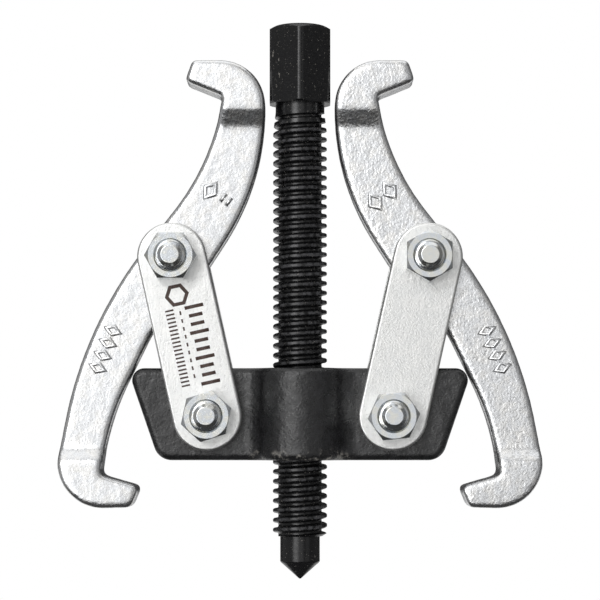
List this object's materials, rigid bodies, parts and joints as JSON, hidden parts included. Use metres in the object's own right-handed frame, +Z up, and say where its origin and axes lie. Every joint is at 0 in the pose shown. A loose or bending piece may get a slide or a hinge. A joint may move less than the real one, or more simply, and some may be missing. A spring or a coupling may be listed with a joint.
{
  "type": "gear puller",
  "caption": "Screw-driven gear puller: a black crossbeam and forcing screw, with reversible zinc jaws on bolted link plates.",
  "frame": {"origin": "the tip of the forcing screw's cone, which stands on the shaft", "axes": "+Z up along the forcing screw to its hex head, +X to the right, -Y to the front where the nuts are"},
  "size_m": [0.1268, 0.029, 0.1463],
  "materials": {
    "black_oxide_screw": "black oxide, lightly oiled, semi-gloss",
    "black_forging": "satin black coating on a forging",
    "zinc_forging": "bright zinc plate over a pebbled forging",
    "zinc_plate": "satin zinc plate on stamped steel",
    "zinc_hardware": "glossy zinc plate on bolts and nuts"
  },
  "bodies": {
    "crossbeam": {"crossbeam": "black_forging"},
    "screw_point": {"screw_point": "black_oxide_screw"},
    "forcing_screw": {"forcing_screw": "black_oxide_screw"},
    "links_left": {"link_left_front": "zinc_plate", "link_left_rear": "zinc_plate", "bolt_left_lower": "zinc_hardware", "bolt_left_upper": "zinc_hardware", "nut_left_lower": "zinc_hardware", "nut_left_upper": "zinc_hardware"},
    "jaw_left": {"jaw_left": "zinc_forging"},
    "links_right": {"link_right_front": "zinc_plate", "link_right_rear": "zinc_plate", "bolt_right_lower": "zinc_hardware", "bolt_right_upper": "zinc_hardware", "nut_right_lower": "zinc_hardware", "nut_right_upper": "zinc_hardware"},
    "jaw_right": {"jaw_right": "zinc_forging"}
  },
  "joints": [
    {"name": "screw_advance", "type": "slide", "parent": "crossbeam", "child": "screw_point", "axis": [0, 0, 1], "range_m": [-0.0598, 0.0166]},
    {"name": "screw_turn", "type": "hinge", "parent": "screw_point", "child": "forcing_screw", "pos_m": [0, 0, 0], "axis": [0, 0, 1], "range_deg": [-8476, 2354]},
    {"name": "link_left_swing", "type": "hinge", "parent": "crossbeam", "child": "links_left", "pos_m": [-0.0242, 0, 0.0424], "axis": [0, -1, 0], "range_deg": [0, 90]},
    {"name": "jaw_left_pivot", "type": "hinge", "parent": "links_left", "child": "jaw_left", "pos_m": [-0.03356, 0, 0.08401], "axis": [0, -1, 0], "range_deg": [-68, 0]},
    {"name": "link_right_swing", "type": "hinge", "parent": "crossbeam", "child": "links_right", "pos_m": [0.0242, 0, 0.0424], "axis": [0, 1, 0], "range_deg": [0, 90]},
    {"name": "jaw_right_pivot", "type": "hinge", "parent": "links_right", "child": "jaw_right", "pos_m": [0.03356, 0, 0.08401], "axis": [0, 1, 0], "range_deg": [-68, 0]}
  ],
  "couplings": [
    {"joint": "screw_turn", "follows": "screw_advance", "rad_per_m": 2473.7},
    {"joint": "jaw_left_pivot", "follows": "link_left_swing", "ratio": -0.75},
    {"joint": "jaw_right_pivot", "follows": "link_right_swing", "ratio": -0.75}
  ]
}
